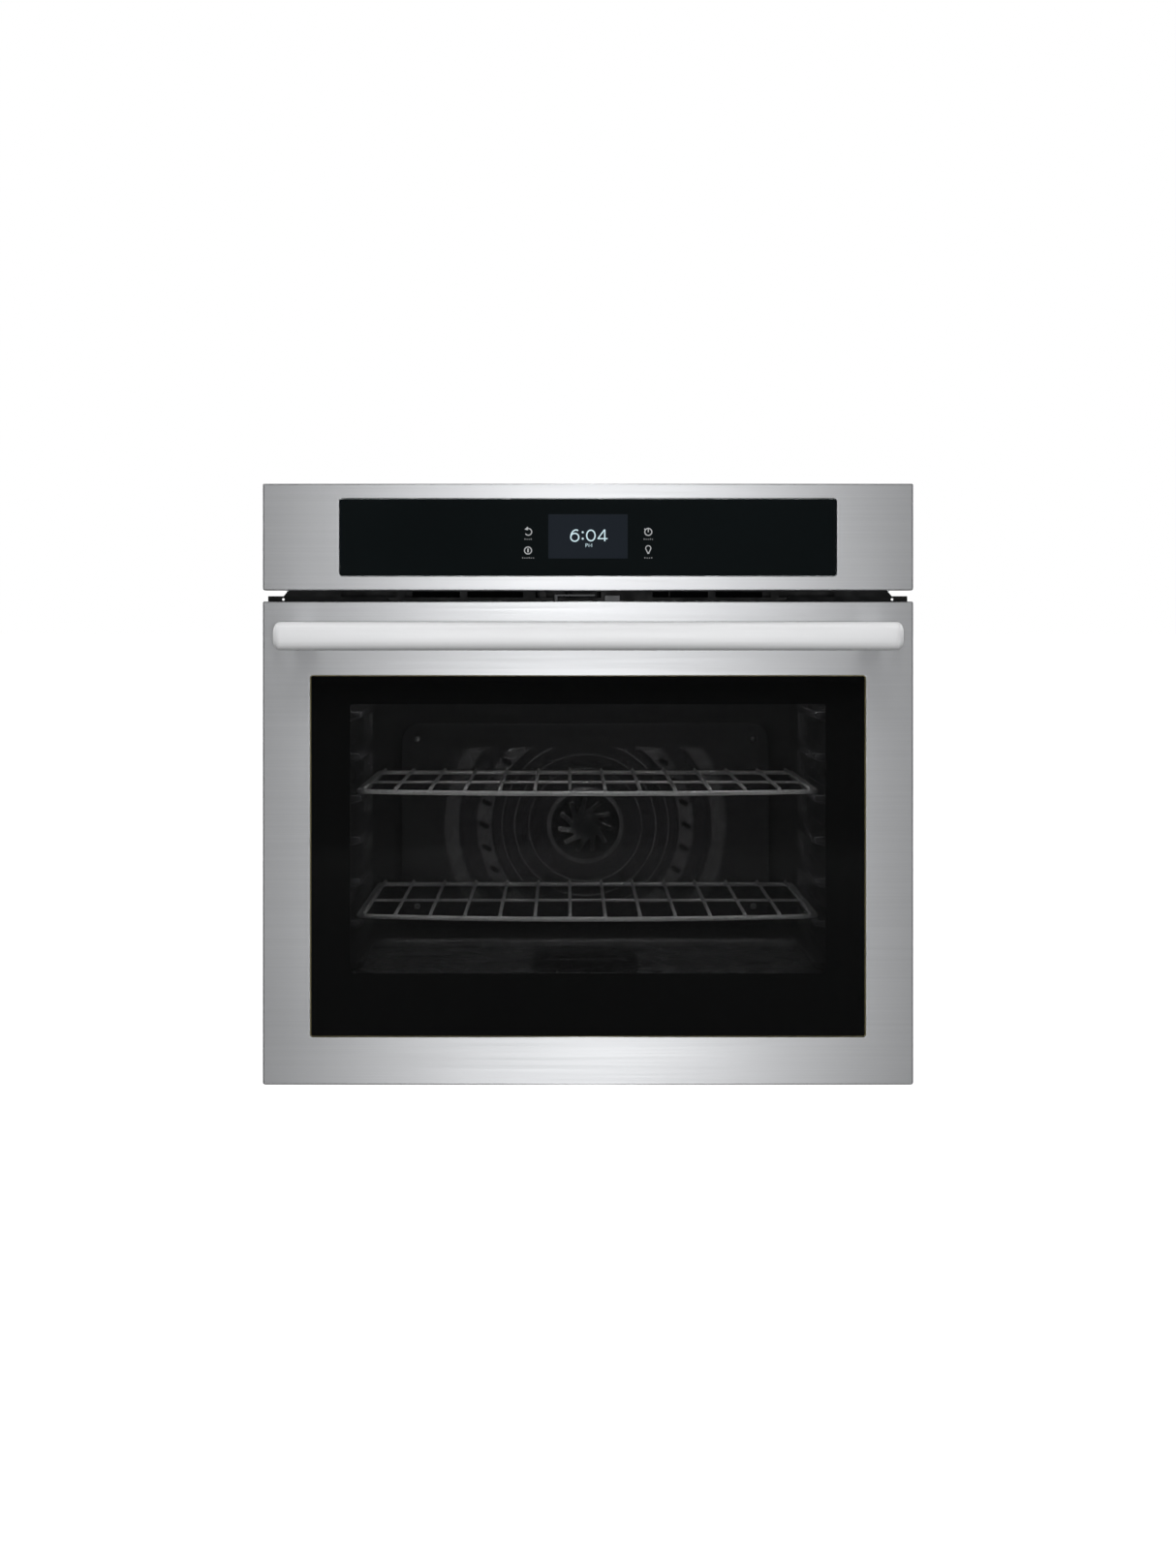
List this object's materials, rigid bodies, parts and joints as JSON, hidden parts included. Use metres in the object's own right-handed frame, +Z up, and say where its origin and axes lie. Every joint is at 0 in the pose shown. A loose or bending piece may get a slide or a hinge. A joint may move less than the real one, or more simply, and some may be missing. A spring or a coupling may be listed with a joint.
{
  "type": "wall oven",
  "caption": "Built-in electric wall oven with stainless front, glass control fascia, drop-down windowed door with bar handle, wire racks and convection fan in a black enamelled cavity.",
  "frame": {"origin": "centre of the bounding box's underside, which is the plane the base pan rests on", "axes": "+Z up, +Y from the door towards the back of the oven, +X to the viewer's right when facing the door"},
  "size_m": [0.762, 0.687, 0.71],
  "materials": {
    "stainless": "satin",
    "galvanised": "matte",
    "porcelain": "gloss",
    "black_glass": "gloss",
    "window_glass": "gloss",
    "clear_glass": "gloss",
    "black_plastic": "satin",
    "dark_steel": "satin",
    "chrome_wire": "polished",
    "element": "matte",
    "insulation": "matte",
    "gasket": "matte",
    "steel": "satin",
    "aluminium": "satin",
    "board": "satin",
    "fan_steel": "satin",
    "display": "gloss",
    "bulb": "gloss"
  },
  "bodies": {
    "chassis": {"base_pan": "galvanised", "left_side_panel": "galvanised", "right_side_panel": "galvanised", "top_cover": "galvanised", "back_panel": "galvanised", "front_frame": "porcelain", "oven_cavity": "porcelain", "insulation_wrap": "insulation", "bake_element_tray": "galvanised", "bake_element": "element", "broil_element": "element", "convection_baffle": "porcelain", "convection_motor": "steel", "lamp_housing": "galvanised", "lamp_bulb": "bulb", "lamp_lens": "clear_glass", "temperature_sensor": "steel", "door_gasket": "gasket", "left_mounting_flange": "dark_steel", "right_mounting_flange": "dark_steel", "left_hinge_receiver": "steel", "right_hinge_receiver": "steel", "left_hinge_arm": "steel", "right_hinge_arm": "steel", "latch_motor": "steel", "door_switch_body": "black_plastic", "vent_trim": "dark_steel", "air_duct": "galvanised", "blower_housing": "galvanised", "blower_motor": "steel", "control_fascia": "stainless", "control_glass": "black_glass", "display_screen": "display", "control_board": "board", "control_bracket": "galvanised", "terminal_cover": "galvanised", "conduit_gland": "galvanised"},
    "door": {"door_skin": "stainless", "door_outer_glass": "window_glass", "door_middle_glass": "clear_glass", "door_inner_glass": "clear_glass", "door_glass_frame": "aluminium", "door_insulation": "insulation", "door_liner": "porcelain", "door_top_trim": "black_plastic", "handle_bar": "stainless", "left_handle_mount": "stainless", "right_handle_mount": "stainless", "left_hinge_body": "steel", "right_hinge_body": "steel", "left_hinge_pin": "steel", "right_hinge_pin": "steel", "left_hinge_spring": "steel", "right_hinge_spring": "steel"},
    "upper_rack": {"upper_rack": "chrome_wire"},
    "lower_rack": {"lower_rack": "chrome_wire"},
    "fan": {"convection_fan": "fan_steel"},
    "blower": {"blower_wheel": "fan_steel"},
    "latch": {"latch_hook": "steel"},
    "switch_plunger": {"door_switch_plunger": "black_plastic"}
  },
  "joints": [
    {"name": "door_hinge", "type": "hinge", "parent": "chassis", "child": "door", "pos_m": [0, -0.2575, 0.026], "axis": [1, 0, 0], "range_deg": [0, 90], "stiffness_Nm_per_rad": 16, "springref_deg": -14.32, "deforming": ["left_hinge_spring", "right_hinge_spring"]},
    {"name": "upper_rack_slide", "type": "slide", "parent": "chassis", "child": "upper_rack", "axis": [0, -1, 0], "range_m": [0, 0.23]},
    {"name": "lower_rack_slide", "type": "slide", "parent": "chassis", "child": "lower_rack", "axis": [0, -1, 0], "range_m": [0, 0.23]},
    {"name": "switch_plunger_slide", "type": "slide", "parent": "chassis", "child": "switch_plunger", "axis": [0, -1, 0], "range_m": [0, 0.004]},
    {"name": "convection_fan_spin", "type": "hinge", "parent": "chassis", "child": "fan", "pos_m": [0, 0.2425, 0.2725], "axis": [0, 1, 0], "continuous": true},
    {"name": "blower_spin", "type": "hinge", "parent": "chassis", "child": "blower", "pos_m": [0, 0.1465, 0.59], "axis": [0, 0, 1], "continuous": true},
    {"name": "latch_turn", "type": "hinge", "parent": "chassis", "child": "latch", "pos_m": [-0.023, -0.1765, 0.5795], "axis": [0, 0, 1], "range_deg": [0, 14]}
  ],
  "couplings": [
    {"joint": "upper_rack_slide", "follows": "door_hinge", "m_per_rad": 0.1464},
    {"joint": "lower_rack_slide", "follows": "door_hinge", "m_per_rad": 0.1464},
    {"joint": "switch_plunger_slide", "follows": "door_hinge", "m_per_rad": 0.002546}
  ]
}
